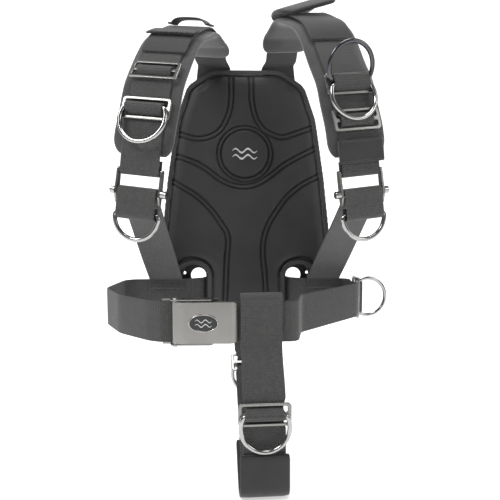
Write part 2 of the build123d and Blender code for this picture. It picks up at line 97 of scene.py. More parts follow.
CROTCH_RADII = [6.2, 6.2, 40, 60, 10.5, 10.5, 40, 60, 2]
PAD_FRONT = -14.4
PAD_MIDDLE = -9.0
PAD_REAR = -3.9
GROOVE_DEPTH = 3.4
DISC_RADIUS = 36.0


# ---- planes and runs ----
def unit(v):
    v = np.asarray(v, float)
    return v / np.linalg.norm(v)


class Flat:
    """A plane in space with x and y along it and z out of it."""

    def __init__(self, origin, x, z):
        self.o = np.array(origin, float)
        self.x = unit(x)
        self.z = unit(z)
        self.y = np.cross(self.z, self.x)

    def at(self, p, out=0.0):
        return self.o + self.x * p[0] + self.y * p[1] + self.z * out

    def way(self, d):
        return self.x * d[0] + self.y * d[1]


def strap_plane(side):
    forward = np.array([side * math.sin(STRAP_YAW), -math.cos(STRAP_YAW), 0])
    across = np.array([math.cos(STRAP_YAW), side * math.sin(STRAP_YAW), 0])
    up = np.array([0, 0, 1]) * math.cos(STRAP_LEAN) - across * (side * math.sin(STRAP_LEAN))
    return Flat((side * STRAP_SLOT[0], STRAP_SLOT[1], STRAP_SLOT[2]), forward, np.cross(forward, up))


def belt_plane(side):
    return Flat((0, 0, BELT_Z), (side, 0, 0), (0, 0, -side))


def crotch_plane():
    forward = np.array([math.sin(CROTCH_YAW), -math.cos(CROTCH_YAW), 0])
    return Flat((0, 0, 0), forward, np.cross(forward, (0, 0, 1)))


def turn_left(d):
    return np.array([-d[1], d[0]])


def resample(path, step):
    path = np.asarray(path, float)
    lengths = np.r_[0, np.cumsum(np.linalg.norm(np.diff(path, axis=0), axis=1))]
    count = max(2, int(round(lengths[-1] / step)) + 1)
    at = np.linspace(0, lengths[-1], count)
    return np.stack([np.interp(at, lengths, path[:, k]) for k in range(path.shape[1])], axis=1)


def rounded(points, radii, step=1.5):
    """A run with arcs at its corners, as evenly spaced points."""
    points = [np.array(p, float) for p in points]
    out = [points[0]]
    for i, radius in enumerate(radii, 1):
        a = unit(points[i - 1] - points[i])
        b = unit(points[i + 1] - points[i])
        half = math.acos(max(-1, min(1, float(a @ b)))) / 2
        if half > math.pi / 2 - 0.004:
            out.append(points[i])
            continue
        reach = radius / math.tan(half)
        centre = points[i] + unit(a + b) * (radius / math.sin(half))
        start = points[i] + a * reach - centre
        end = points[i] + b * reach - centre
        sweep = math.pi - 2 * half
        for k in range(13):
            t = k / 12
            mixed = (math.sin((1 - t) * sweep) * start + math.sin(t * sweep) * end) / math.sin(sweep)
            out.append(centre + mixed)
    out.append(points[-1])
    return resample(out, step)


def offset(path, shift):
    """A path moved to its left."""
    d = np.gradient(path, axis=0)
    d /= np.linalg.norm(d, axis=1)[:, None]
    return path + np.stack([-d[:, 1], d[:, 0]], axis=1) * shift


# Half outlines of the webbing's bulges over the hardware, as (along, out): one ring, two rings, a slide.
RING_LOOP = [(-12.5, 0), (-9.6, 0.1), (-7.7, 1.1), (-6.3, 3.3), (-5.3, 6.0), (-4.6, 8.8), (-3.3, 11.6),
             (-1.6, 12.8), (0, 13.1)]
TWIN_RING_LOOP = [(-13.5, 0), (-11.2, 0.2), (-9.6, 1.3), (-8.6, 3.4), (-7.6, 6.0), (-8.2, 8.8), (-6.9, 11.6),
                  (-4.6, 12.9), (0, 13.0)]
SLIDE_LOOP = [(-12.5, 0), (-9.6, 0.1), (-7.6, 1.2), (-5.6, 3.9), (-3.9, 6.0), (-2.0, 6.9), (0, 7.1)]


def mirrored(loop):
    return loop + [(-t, z) for t, z in reversed(loop[:-1])]


def with_loop(path, place, loop, out=1):
    """The path with a raised loop at a place on it."""
    place = np.array(place, float)
    nearest = int(np.argmin(np.linalg.norm(path - place, axis=1)))
    d = unit(path[min(nearest + 2, len(path) - 1)] - path[max(nearest - 2, 0)])
    n = turn_left(d) * out
    along = (path - place) @ d
    close = np.linalg.norm(path - place, axis=1) < 22
    inside = close & (np.abs(along) < 12.4)
    first = int(np.argmax(inside))
    last = len(path) - 1 - int(np.argmax(inside[::-1]))
    heights = (path - place) @ n
    base = np.interp([t for t, _ in mirrored(loop)], along[first:last + 1], heights[first:last + 1])
    bulge = [place + d * t + n * (z + lift) for (t, z), lift in zip(mirrored(loop), base)]
    joined = np.vstack([path[:first], bulge, path[last + 1:]])
    joined = resample(joined, 0.8)
    for _ in range(2):
        joined[1:-1] = joined[:-2] * 0.25 + joined[1:-1] * 0.5 + joined[2:] * 0.25
    return joined


def on_leg(run, leg, share):
    a = np.array(run[leg], float)
    b = np.array(run[leg + 1], float)
    return a + (b - a) * share


# ---- meshes ----
def new_object(name, verts, faces, uvs=None, smooth=True):
    """A mesh from points in millimetres, with an optional strap map in millimetres."""
    mesh = bpy.data.meshes.new(name)
    mesh.from_pydata([tuple(float(c) * MM for c in v) for v in verts], [], faces)
    if uvs is not None:
        layer = mesh.uv_layers.new(name="strap")
        flat = np.array([uvs[i] for f in faces for i in f], np.float32).reshape(-1)
        layer.data.foreach_set("uv", flat)
    mesh.polygons.foreach_set("use_smooth", [smooth] * len(mesh.polygons))
    mesh.validate()
    mesh.update()
    obj = bpy.data.objects.new(name, mesh)
    bpy.context.scene.collection.objects.link(obj)
    return obj


def web_section(width, thick, cols=26):
    """Closed section of webbing: two faces and round edges, as (across, out, map) rows."""
    r = thick / 2
    xs = np.linspace(-width / 2 + r, width / 2 - r, cols)
    top = [(x, r * (1 - 0.12 * (abs(x) / (width / 2)) ** 8), x) for x in xs]
    arc = [math.radians(a) for a in (60, 30, 0, -30, -60)]
    flat = width / 2 - r
    right = [(flat + r * math.cos(a), r * math.sin(a), flat + r * (1 - math.sin(a))) for a in arc]
    bottom = [(x, -z, x) for x, z, _ in reversed(top)]
    left = [(-x, -z, -u) for x, z, u in right]
    return top + right + bottom + left


def pad_section(width, thick, crown=3.0, pinch=0.35, cols=30):
    """Closed section of a padded strip, fullest in the middle and pinched at its edges."""
    rows = []
    for sign in (1, -1):
        for k in range(cols):
            t = -1 + 2 * k / (cols - 1)
            s = math.sin(t * math.pi / 2) * sign
            edge = (1 - abs(s) ** crown) ** 0.5
            rows.append((s * width / 2, sign * thick / 2 * (pinch + (1 - pinch) * edge), s * width / 2))
    return rows


def strip(name, centre, across, section, width_scale=None, thick_scale=None, wrinkle=None):
    """A closed strip along a path in space. across is one direction or one for each point."""
    centre = np.asarray(centre, float)
    across = np.broadcast_to(np.asarray(across, float), centre.shape)
    d = np.gradient(centre, axis=0)
    d /= np.linalg.norm(d, axis=1)[:, None]
    out = np.cross(across, d)
    out = out / np.linalg.norm(out, axis=1)[:, None]
    s = np.r_[0, np.cumsum(np.linalg.norm(np.diff(centre, axis=0), axis=1))]
    n = len(section)
    verts, uvs, faces = [], [], []
    for i in range(len(centre)):
        ws = 1 if width_scale is None else width_scale[i]
        ts = 1 if thick_scale is None else thick_scale[i]
        for x, z, u in section:
            lift = wrinkle(s[i], x) if wrinkle else 0.0
            verts.append(centre[i] + across[i] * (x * ws) + out[i] * (z * ts + lift))
            uvs.append((u, s[i]))
    for i in range(len(centre) - 1):
        for k in range(n):
            a = i * n + k
            b = i * n + (k + 1) % n
            faces.append((a, b, b + n, a + n))
    faces.append(tuple(reversed(range(n))))
    last = (len(centre) - 1) * n
    faces.append(tuple(range(last, last + n)))
    obj = new_object(name, verts, faces, uvs)
    fix_normals(obj)
    return obj


def fix_normals(obj):
    bm = bmesh.new()
    bm.from_mesh(obj.data)
    bmesh.ops.recalc_face_normals(bm, faces=bm.faces)
    bm.to_mesh(obj.data)
    bm.free()


def soft_ripple(seed, size=0.25, long=46.0):
    """Slight waves of fabric along and across a strip."""
    def lift(s, x):
        a = math.sin(s / long * 6.283 + seed) * math.cos(x / 31 + seed * 1.7)
        b = math.sin(s / (long * 0.43) + seed * 2.3 + x / 17)
        return size * (0.7 * a + 0.3 * b)
    return lift


def stitches(name, lines, body, pitch=3.2, length=2.3, radius=0.28):
    """Rows of thread as small raised beads. Each line is (points, outward directions) in millimetres."""
    verts, faces = [], []
    ring = [(math.cos(a), math.sin(a)) for a in np.linspace(0, 2 * math.pi, 6, endpoint=False)]
    for points, outs in lines:
        points = np.asarray(points, float)
        outs = np.broadcast_to(np.asarray(outs, float), points.shape)
        both = resample(np.hstack([points, outs]), pitch)
        for i in range(len(both) - 1):
            p = (both[i, :3] + both[i + 1, :3]) / 2
            o = unit(both[i, 3:])
            d = unit(both[i + 1, :3] - both[i, :3])
            side = np.cross(d, o)
            base = len(verts)
            for t, r in ((-1, 0.25), (-0.7, 0.85), (0, 1), (0.7, 0.85), (1, 0.25)):
                for c, sn in ring:
                    verts.append(p + d * (t * length / 2) + side * (c * radius * r) + o * (sn * radius * r))
            for k in range(4):
                for j in range(6):
                    a = base + k * 6 + j
                    b = base + k * 6 + (j + 1) % 6
                    faces.append((a, b, b + 6, a + 6))
            faces.append(tuple(base + j for j in reversed(range(6))))
            faces.append(tuple(base + 24 + j for j in range(6)))
    obj = new_object(name, verts, faces)
    fix_normals(obj)
    paint(obj, THREAD)
    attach(obj, body)
    return obj


# ---- materials ----
def material(name, colour, rough, metal=0.0, sheen=0.0):
    mat = bpy.data.materials.new(name)
    mat.use_nodes = True
    tree = mat.node_tree
    bsdf = tree.nodes["Principled BSDF"]
    bsdf.inputs["Base Color"].default_value = (*colour, 1)
    bsdf.inputs["Roughness"].default_value = rough
    bsdf.inputs["Metallic"].default_value = metal
    bsdf.inputs["Sheen Weight"].default_value = sheen
    bsdf.inputs["Sheen Roughness"].default_value = 0.45
    return mat, tree, bsdf


def add_node(tree, kind, **values):
    node = tree.nodes.new(kind)
    for key, value in values.items():
        if key in node.inputs:
            node.inputs[key].default_value = value
        else:
            setattr(node, key, value)
    return node


def colour_mix(tree, factor, dark, light, bsdf):
    mix = tree.nodes.new("ShaderNodeMix")
    mix.data_type = "RGBA"
    tree.links.new(factor, mix.inputs["Factor"])
    mix.inputs[6].default_value = (*dark, 1)
    mix.inputs[7].default_value = (*light, 1)
    tree.links.new(mix.outputs[2], bsdf.inputs["Base Color"])


def bump(tree, height, strength, distance, bsdf, under=None):
    node = tree.nodes.new("ShaderNodeBump")
    node.inputs["Strength"].default_value = strength
    node.inputs["Distance"].default_value = distance
    tree.links.new(height, node.inputs["Height"])
    if under is not None:
        tree.links.new(under, node.inputs["Normal"])
    tree.links.new(node.outputs["Normal"], bsdf.inputs["Normal"])
    return node.outputs["Normal"]


def woven(name, dark, light, cell=(2.1, 1.5), rough=0.72, depth=0.0006, sheen=0.25):
    """Coarse webbing weave laid along the strap map."""
    mat, tree, bsdf = material(name, light, rough, sheen=sheen)
    strap = add_node(tree, "ShaderNodeUVMap", uv_map="strap")
    brick = add_node(tree, "ShaderNodeTexBrick", offset=0.5, offset_frequency=2)
    brick.inputs["Scale"].default_value = 1.0
    brick.inputs["Brick Width"].default_value = cell[0]
    brick.inputs["Row Height"].default_value = cell[1]
    brick.inputs["Mortar Size"].default_value = 0.3
    brick.inputs["Mortar Smooth"].default_value = 1.0
    brick.inputs["Color1"].default_value = (0.75, 0.75, 0.75, 1)
    brick.inputs["Color2"].default_value = (1, 1, 1, 1)
    brick.inputs["Mortar"].default_value = (0, 0, 0, 1)
    tree.links.new(strap.outputs["UV"], brick.inputs["Vector"])
    fuzz = add_node(tree, "ShaderNodeTexNoise")
    fuzz.inputs["Scale"].default_value = 900
    coords = add_node(tree, "ShaderNodeTexCoord")
    tree.links.new(coords.outputs["Object"], fuzz.inputs["Vector"])
    blend = add_node(tree, "ShaderNodeMath", operation="MULTIPLY")
    tree.links.new(brick.outputs["Color"], blend.inputs[0])
    tree.links.new(fuzz.outputs["Fac"], blend.inputs[1])
    colour_mix(tree, blend.outputs[0], dark, light, bsdf)
    under = bump(tree, fuzz.outputs["Fac"], 0.25, 0.0004, bsdf)
    bump(tree, brick.outputs["Color"], 1.0, depth, bsdf, under)
    return mat


def cloth(name, dark, light, rough=0.85, weave=1400, depth=0.0003, sheen=0.35):
    """Fine fabric with no map: crossed fine waves with fuzz and broad colour variation."""
    mat, tree, bsdf = material(name, light, rough, sheen=sheen)
    coords = add_node(tree, "ShaderNodeTexCoord")
    fine = add_node(tree, "ShaderNodeTexNoise")
    fine.inputs["Scale"].default_value = weave
    fine.inputs["Detail"].default_value = 3
    cells = add_node(tree, "ShaderNodeTexVoronoi")
    cells.inputs["Scale"].default_value = weave * 0.8
    broad = add_node(tree, "ShaderNodeTexNoise")
    broad.inputs["Scale"].default_value = 28
    for node in (fine, cells, broad):
        tree.links.new(coords.outputs["Object"], node.inputs["Vector"])
    both = add_node(tree, "ShaderNodeMath", operation="MULTIPLY_ADD")
    both.inputs[1].default_value = 0.45
    tree.links.new(fine.outputs["Fac"], both.inputs[0])
    tree.links.new(broad.outputs["Fac"], both.inputs[2])
    colour_mix(tree, both.outputs[0], dark, light, bsdf)
    under = bump(tree, cells.outputs["Distance"], 0.5, depth, bsdf)
    bump(tree, fine.outputs["Fac"], 0.6, depth, bsdf, under)
    return mat


def steel(name, colour, rough, scratch=0.4, stretch=(1, 1, 1)):
    """Satin or polished steel with fine scratches and slight smudges."""
    mat, tree, bsdf = material(name, colour, rough, metal=1.0)
    coords = add_node(tree, "ShaderNodeTexCoord")
    spread = add_node(tree, "ShaderNodeMapping")
    spread.inputs["Scale"].default_value = stretch
    tree.links.new(coords.outputs["Object"], spread.inputs["Vector"])
    lines = add_node(tree, "ShaderNodeTexNoise")
    lines.inputs["Scale"].default_value = 420
    lines.inputs["Detail"].default_value = 6
    tree.links.new(spread.outputs["Vector"], lines.inputs["Vector"])
    smudge = add_node(tree, "ShaderNodeTexNoise")
    smudge.inputs["Scale"].default_value = 35
    tree.links.new(coords.outputs["Object"], smudge.inputs["Vector"])
    grade = add_node(tree, "ShaderNodeMapRange")
    grade.inputs["To Min"].default_value = rough * 0.7
    grade.inputs["To Max"].default_value = rough * 1.5
    tree.links.new(smudge.outputs["Fac"], grade.inputs["Value"])
    tree.links.new(grade.outputs["Result"], bsdf.inputs["Roughness"])
    bump(tree, lines.outputs["Fac"], scratch, 0.00004, bsdf)
    return mat


def paint_groove_shade(mat):
    """Painted shade: mixes the colour towards near-black by the mesh's per-point painted-shade values, darkest in
    the grooves and along the binding.
    """
    tree = mat.node_tree
    bsdf = tree.nodes["Principled BSDF"]
    old = bsdf.inputs["Base Color"].links[0].from_socket
    groove_shade = add_node(tree, "ShaderNodeAttribute", attribute_name="groove_shade")
    mix = tree.nodes.new("ShaderNodeMix")
    mix.data_type = "RGBA"
    tree.links.new(groove_shade.outputs["Fac"], mix.inputs["Factor"])
    tree.links.new(old, mix.inputs[6])
    mix.inputs[7].default_value = (0.002, 0.002, 0.002, 1)
    tree.links.new(mix.outputs[2], bsdf.inputs["Base Color"])


def paint(obj, mat):
    obj.data.materials.clear()
    obj.data.materials.append(mat)


WEBBING = woven("webbing_black", (0.004, 0.004, 0.004), (0.125, 0.126, 0.122), cell=(3.2, 2.3), depth=0.0011)
ELASTIC = woven("elastic_black", (0.006, 0.006, 0.006), (0.05, 0.05, 0.052), cell=(1.6, 3.4), depth=0.0008)
TAPE = cloth("binding_black", (0.012, 0.012, 0.012), (0.05, 0.05, 0.052), weave=900, depth=0.0004)
PAD_CLOTH = cloth("pad_cloth", (0.012, 0.012, 0.012), (0.028, 0.028, 0.028), rough=0.55, weave=1300,
                  sheen=0.15)
FUZZ = cloth("strap_pad_cloth", (0.010, 0.010, 0.010), (0.07, 0.07, 0.072), weave=700, depth=0.0008, sheen=0.5)
NEOPRENE = cloth("neoprene", (0.009, 0.009, 0.010), (0.024, 0.024, 0.025), rough=0.7, weave=1500, sheen=0.3)
THREAD = cloth("thread", (0.02, 0.02, 0.02), (0.07, 0.07, 0.07), rough=0.55, weave=3000)
PRINT, _, _ = material("print_grey", (0.62, 0.62, 0.62), 0.6)
ENAMEL, _, _ = material("badge_enamel", (0.012, 0.012, 0.014), 0.12)
SATIN = steel("satin_steel", (0.27, 0.265, 0.255), 0.27, 0.5, (1, 1, 14))
POLISHED = steel("polished_steel", (0.42, 0.415, 0.41), 0.14, 0.15)
DARK_STEEL = steel("dark_steel", (0.10, 0.10, 0.11), 0.22, 0.15)
# Painted shade: the pad cloth is darkened to near-black in its grooves and along its binding.
paint_groove_shade(PAD_CLOTH)
PLATE = cloth("plate_coat", (0.010, 0.010, 0.010), (0.022, 0.022, 0.022), rough=0.45, weave=1800,
              depth=0.00015, sheen=0)

for node_name, node in NODES.items():
    if node_name == "left_upper_chest_d_ring":
        paint(node, DARK_STEEL)
    elif "d_ring" in node_name or "roller_bar" in node_name or node_name == "buckle_hinge_pin":
        paint(node, POLISHED)
    elif node_name == "backplate":
        paint(node, PLATE)
    elif node_name == "buckle_badge":
        paint(node, ENAMEL)
    else:
        paint(node, SATIN)
    node.data.polygons.foreach_set("use_smooth", [True] * len(node.data.polygons))


def finish_piece(obj, mat, node, body="harness"):
    paint(obj, mat)
    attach(obj, body)
    if node:
        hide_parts(node)
    return obj


def narrowed(path2, places, width=0.9, reach=11.0):
    """Width of a strap along its path: a little narrower through each loop."""
    scale = np.ones(len(path2))
    for place in places:
        near = np.linalg.norm(path2 - np.array(place), axis=1)
        scale = np.minimum(scale, 1 - (1 - width) * np.clip(1.6 - near / reach, 0, 1))
    return scale


# ---- shoulder straps ----
def strap_places(side):
    """Middles of the hardware on a shoulder strap, as (place, loop)."""
    run = STRAP_RUN[side]
    if side < 0:
        return [(on_leg(run, 4, 0.86), SLIDE_LOOP), (on_leg(run, 5, 0.56), RING_LOOP)]
    return [(on_leg(run, 5, 0.06), RING_LOOP), (on_leg(run, 5, 0.72), SLIDE_LOOP)]


def in_space(plane, path2):
    return np.array([plane.at(p) for p in path2])


def shoulder_webbing(side, name):
    plane = strap_plane(side)
    reach = STRAP_FRONT - FOLD[0]
    run = STRAP_RUN[side] + [
        (STRAP_FRONT + 0.01, FOLD[1] - reach), (FOLD[0] - reach, FOLD[1] - reach),
        (FOLD[0] - reach, FOLD[1] + 14)]
    path = rounded(run, STRAP_RADII + [150, reach - 0.03, reach - 0.03], 1.2)
    places = strap_places(side)
    if side < 0:
        for place, loop in places:
            path = with_loop(path, place, loop)
    else:
        path = with_loop(path, places[0][0], TWIN_RING_LOOP)
        path = with_loop(path, places[1][0], SLIDE_LOOP)
    scale = narrowed(path, [p for p, _ in places], 0.86)
    flat_across = np.array([math.cos(SLOT_TILT), 0, side * math.sin(SLOT_TILT)])
    up = np.array([-side * math.sin(SLOT_TILT), 0, math.cos(SLOT_TILT)])
    slot = np.array([side * PLATE_SLOT[0], 0, PLATE_SLOT[1]])
    bend = [(-0.5, 0), (-3.4, 0), (-4.6, 0.35), (-5.3, 1.1), (RISE_Y, 2.2), (RISE_Y, 8), (RISE_Y, 16),
            (RISE_Y, RISE)]
    rise = resample(np.array([slot + np.array([0, y, 0]) + up * u for y, u in bend]), 1.2)
    begin = plane.at(path[0])
    pull_up = np.linalg.norm(begin - rise[-1])
    ahead = plane.way(unit(path[1] - path[0]))
    turn = []
    for t in np.linspace(0, 1, 12)[1:-1]:
        a = rise[-1] + up * pull_up * 0.33
        b = begin - ahead * pull_up * 0.33
        turn.append((1 - t) ** 3 * rise[-1] + 3 * (1 - t) ** 2 * t * a
                    + 3 * (1 - t) * t * t * b + t ** 3 * begin)
    centre = np.vstack([rise, turn, in_space(plane, path)])
    mix = np.concatenate([np.zeros(len(rise)), np.linspace(0, 1, 12)[1:-1], np.ones(len(path))])[:, None]
    across = flat_across * (1 - mix) - plane.z * mix
    across /= np.linalg.norm(across, axis=1)[:, None]
    scale = np.concatenate([np.ones(len(rise) + 10), scale])
    obj = strip(name + "_webbing_strap", centre, across, web_section(WEB_W, WEB_T),
                width_scale=scale, wrinkle=soft_ripple(1.3 * side, 0.12))
    finish_piece(obj, WEBBING, name + "_shoulder_webbing")
    rows = []
    for height in (FOLD[1] + 9, FOLD[1] + 13.5):
        p = (STRAP_FRONT + THREAD_LIFT, height)
        rows.append(([plane.at(p, -SEAM_HALF), plane.at(p, SEAM_HALF)], plane.x))
    stitches(name + "_fold_stitches", rows, "harness")


def strap_pad(side, name):
    plane = strap_plane(side)
    run = STRAP_RUN[side] + [(222.1, -123)]
    points = [tuple(on_leg(run, 1, 0.2))] + run[2:]
    path = rounded(points, STRAP_RADII[1:] + [150], 2.0)
    path = offset(path, -(WEB_T / 2 + GAP + 4.5))
    s = np.arange(len(path)) * 2.0
    ends = np.sqrt(1 - (1 - np.clip(np.minimum(s, s[::-1]) / 20.0, 0.02, 1)) ** 2)
    obj = strip(name + "_strap_padding", in_space(plane, path), -plane.z, pad_section(76, 9, 5.0, 0.25, 40),
                width_scale=0.72 + 0.28 * ends, thick_scale=0.5 + 0.5 * ends,
                wrinkle=lambda a, x: -0.45 * (1 + math.sin(a / 8.5)) * (abs(x) / 38) ** 6)
    finish_piece(obj, FUZZ, name + "_shoulder_pad")
    rows = []
    middle = in_space(plane, offset(path[11:-11], 3.55))
    outs = np.array([plane.way(turn_left(unit(d))) for d in np.gradient(path[11:-11], axis=0)])
    for x in (-33.5, 33.5):
        rows.append((middle - plane.z * x, outs))
    stitches(name + "_pad_stitches", rows, "harness")


def layer_path(side, first, last, lift, step=2.0):
    run = STRAP_RUN[side]
    points = [on_leg(run, *first)] + [run[i] for i in range(first[0] + 1, last[0] + 1)] + [on_leg(run, *last)]
    return offset(rounded(points, STRAP_RADII[first[0]:last[0]], step), lift)


def cover(side, name, node, first, last, width, thick, lift, mat, edge=2.6, shape=None,
          cant=0.0):
    """A fabric layer over a strap with sewn edges. cant tips it up at its outer edge."""
    plane = strap_plane(side)
    path = layer_path(side, first, last, lift)
    count = len(path)
    ends = np.clip(np.minimum(np.arange(count), np.arange(count)[::-1]) / 3, 0, 1) ** 0.5
    scale = shape(np.linspace(0, 1, count)) if shape else 0.95 + 0.05 * ends
    over = np.array([plane.way(turn_left(unit(d))) for d in np.gradient(path, axis=0)])
    tip = unit(np.array([math.cos(cant), math.sin(cant)]))
    across = -plane.z * tip[0] + over * tip[1] * side
    centre = in_space(plane, path) + over * (width / 2 * 0.8 * math.sin(cant))
    obj = strip(name, centre, across, pad_section(width, thick, 7.0, 0.45, 36),
                width_scale=scale, thick_scale=0.7 + 0.3 * ends, wrinkle=soft_ripple(side + count, 0.15, 38))
    finish_piece(obj, mat, node)
    rows = []
    outs = over * tip[0] + plane.z * tip[1] * side
    face = centre + outs * (thick / 2 * 0.93)
    for sign in (-1, 1):
        rows.append(((face + across * sign * (width / 2 - edge) * scale[:, None])[2:-2], outs[2:-2]))
    for i in (2, -3):
        half = (width / 2 - edge) * scale[i]
        rows.append(([face[i] - across[i] * half, face[i] + across[i] * half], outs[i]))
    stitches(name + "_stitches", rows, "harness")


def strap_box(side, name, node, place, down, size, lift, mat):
    """A band sewn flat across a strap, and round its edges."""
    plane = strap_plane(side)
    d = unit(down)
    n = turn_left(d)
    place = np.array(place, float)
    width, length, thick = size
    middle = place + n * (lift + thick / 2)
    across = np.array([plane.at(middle, x) for x in np.linspace(-width / 2, width / 2, 32)])
    bow = np.sin(np.linspace(0, math.pi, 32)) ** 0.3
    across = across + plane.way(n) * ((bow - 1) * thick * 0.28)[:, None]
    obj = strip(name, across, plane.way(d), pad_section(length, thick, 9.0, 0.55, 20),
                wrinkle=soft_ripple(3.1, 0.1, 20))
    finish_piece(obj, mat, node)
    rows = []
    for t in (-1, 1):
        rows.append(([plane.at(place + n * (lift + thick * 0.98) + d * t * (length / 2 - 2.4), x) for x in
                      (-width / 2 + 3, width / 2 - 3)], plane.way(n)))
    stitches(name + "_stitches", rows, "harness")


def wave_mark(name, centre, x, y, width, height, body, thick=0.5, bar=1.5):
    """A plain wave sign: two raised wavy lines."""
    verts, faces = [], []
    out = np.cross(x, y)
    for row in range(2):
        base = len(verts)
        drop = (0.5 - row) * height * 0.62
        for i in range(41):
            t = i / 40
            taper = math.sin(math.pi * min(max(t, 0.02), 0.98)) ** 0.4
            px = (t - 0.5) * width
            py = drop + math.sin(t * 4 * math.pi) * height * 0.2
            for dy in (-bar / 2 * taper, bar / 2 * taper):
                for dz in (-0.15, thick):
                    verts.append(np.array(centre) + x * px + y * (py + dy) + out * dz)
        for i in range(40):
            a = base + i * 4
            for p, q in ((0, 1), (1, 3), (3, 2), (2, 0)):
                faces.append((a + p, a + q, a + q + 4, a + p + 4))
        faces.append((base, base + 2, base + 3, base + 1))
        end = base + 160
        faces.append((end, end + 1, end + 3, end + 2))
    obj = new_object(name, verts, faces, smooth=False)
    fix_normals(obj)
    paint(obj, PRINT)
    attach(obj, body)
    return obj


def elastic_loop(lift):
    """A raised elastic loop across the right shoulder, sewn down at both ends."""
    plane = strap_plane(-1)
    path = layer_path(-1, (2, 0.55), (3, 0.31), lift)
    middle = path[len(path) // 2]
    d = unit(path[len(path) // 2 + 1] - path[len(path) // 2 - 1])
    n = turn_left(d)
    xs = np.linspace(-29, 29, 48)
    rise = 2.0 + 7.0 * np.clip(1 - (xs / 24) ** 4, 0, 1) ** 0.8
    across = np.array([plane.at(middle + n * z, -x) for x, z in zip(xs, rise)])
    obj = strip("right_loop_cover", across, plane.way(d), web_section(23, 2.2, 18),
                wrinkle=soft_ripple(1.1, 0.15, 18))
    finish_piece(obj, ELASTIC, "right_hose_loop")
    rows = []
    for x in (-27, 27):
        rows.append(([plane.at(middle + n * 3.3 + d * t, -x) for t in (-9, 9)], plane.way(n)))
    stitches("right_loop_stitches", rows, "harness")


def shoulder_covers():
    above = WEB_T / 2 + GAP
    sleeve = above + 1.1
    over = above + 2.2 + GAP
    cover(-1, "right_sleeve_cover", "right_shoulder_sleeve", (1, 0.3), (4, 0.42), 58, 2.2, sleeve, NEOPRENE)
    cover(1, "left_sleeve_cover", "left_shoulder_sleeve", (1, 0.3), (4, 0.3), 58, 2.2, sleeve, NEOPRENE)
    elastic_loop(over)
    cover(1, "left_flap_cover", "left_shoulder_flap", (2, 0.4), (3, 0.5), 82, 6.0, over + 3, NEOPRENE,
          shape=lambda t: 0.62 + 0.38 * np.sin(np.pi * np.clip(t, 0.02, 0.98)) ** 0.5,
          cant=math.radians(13))
    run = STRAP_RUN[-1]
    strap_box(-1, "right_band_cover", "right_hose_band", on_leg(run, 3, 0.86), np.subtract(run[4], run[3]),
              (63, 24, 3), over, ELASTIC)
    strap_box(1, "left_band_cover", "left_chest_band", (STRAP_FRONT, -118), (0, -1), (58, 27, 5), above,
              NEOPRENE)


# ---- lower straps ----
def lower_straps(side, name):
    plane = strap_plane(side)
    roller_reach = TAIL_FRONT - ROLLER[0]
    pull_reach = TAIL_FRONT - PULL[0]
    top = ROLLER[1] + roller_reach
    low = PULL[1] - pull_reach
    run = [(PULL[0] - pull_reach, PULL[1] + 8), (PULL[0] - pull_reach, low), (TAIL_FRONT, low), (TAIL_FRONT, top),
           (ROLLER[0] - roller_reach, top), (ROLLER[0] - roller_reach, ROLLER[1] - 5)]
    path = rounded(run, [pull_reach - 0.03] * 2 + [roller_reach - 0.03] * 2, 1.0)
    tail = in_space(plane, path)
    start, end = [belt_plane(side).at(p) for p in BELT_RUN[side][3:5]]
    share = 0.35 if side < 0 else 0.42
    way = unit(end - start)
    out = np.array([way[1], -way[0], 0]) * side
    saddle_at = start + (end - start) * share
    saddle = Flat(saddle_at, out, np.cross(out, (0, 0, 1)))
    reach = 2.95
    first = plane.at((ROLLER[0] - 6.2, ROLLER[1] - 8))
    last = saddle.at((reach, WEB_W / 2 + 1))
    turn = saddle.z if saddle.z @ -plane.z > 0 else -saddle.z
    down = [tail[-1] + (first - tail[-1]) * t for t in (0.5, 1)]
    hang = [first + (last - first) * t for t in np.linspace(0, 1, 90)[1:]]
    flap = [saddle.at((reach, y)) for y in np.linspace(WEB_W / 2 - 1, WEB_W / 2 - 15, 8)]
    centre = np.vstack([tail, down, hang, flap])
    sway = np.concatenate([np.zeros(len(tail) + 2), np.linspace(0, 1, 89), np.ones(8)])
    smooth_sway = sway * sway * (3 - 2 * sway)
    across = np.array([unit(-plane.z * (1 - t) + turn * t) for t in smooth_sway])
    for _ in range(3):
        low_side, mid, high_side = centre[len(tail):-2], centre[len(tail) + 1:-1], centre[len(tail) + 2:]
        centre[len(tail) + 1:-1] = (low_side + 2 * mid + high_side) / 4
    obj = strip(name + "_lower_webbing", centre, across, web_section(WEB_W, WEB_T),
                wrinkle=soft_ripple(side * 2.1, 0.1))
    finish_piece(obj, WEBBING, name + "_lower_strap")
    rows = []
    for height in (PULL[1] + 10, PULL[1] + 14):
        p = (TAIL_FRONT + THREAD_LIFT, height)
        rows.append(([plane.at(p, -SEAM_HALF), plane.at(p, SEAM_HALF)], plane.x))
    for y in (WEB_W / 2 - 3, WEB_W / 2 - 12):
        p = (reach + THREAD_LIFT, y)
        rows.append(([saddle.at(p, -SEAM_HALF), saddle.at(p, SEAM_HALF)], saddle.x))
    stitches(name + "_lower_stitches", rows, "harness")
    back = [saddle.at((-reach, y)) for y in np.linspace(WEB_W / 2 + 3.4, WEB_W / 2 - 15, 12)]
    bridge = [saddle.at((reach * math.cos(a), WEB_W / 2 + 1.2 + reach * math.sin(a)))
              for a in np.linspace(0.55, math.pi, 9)]
    strap = strip(name + "_saddle_webbing", np.vstack([bridge, back[1:]]), turn,
                  web_section(WEB_W - 0.6, WEB_T - 0.2))
    finish_piece(strap, WEBBING, None)


